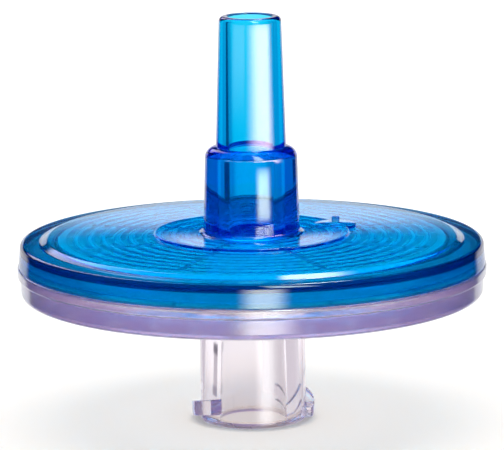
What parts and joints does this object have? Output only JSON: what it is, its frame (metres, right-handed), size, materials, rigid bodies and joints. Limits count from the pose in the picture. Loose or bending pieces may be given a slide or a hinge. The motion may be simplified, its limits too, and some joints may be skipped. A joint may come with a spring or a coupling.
{
  "type": "syringe filter",
  "caption": "Round disc filter with a male slip cone outlet, a female lock inlet hub and a membrane clamped between welded plastic housings",
  "frame": {"origin": "centre of the inlet hub's end face, which is the lowest face", "axes": "+Z runs along the flow axis from the inlet hub up to the outlet cone's tip; +Y points away from the front view"},
  "size_m": [0.0298, 0.0298, 0.0258],
  "materials": {
    "clear_plastic": "moulded clear plastic with a faint violet tint, polished",
    "membrane": "white porous film, matt",
    "blue_plastic": "moulded transparent blue plastic, polished"
  },
  "bodies": {
    "root": {"inlet_housing": "clear_plastic", "membrane": "membrane", "outlet_housing": "blue_plastic"}
  },
  "joints": []
}
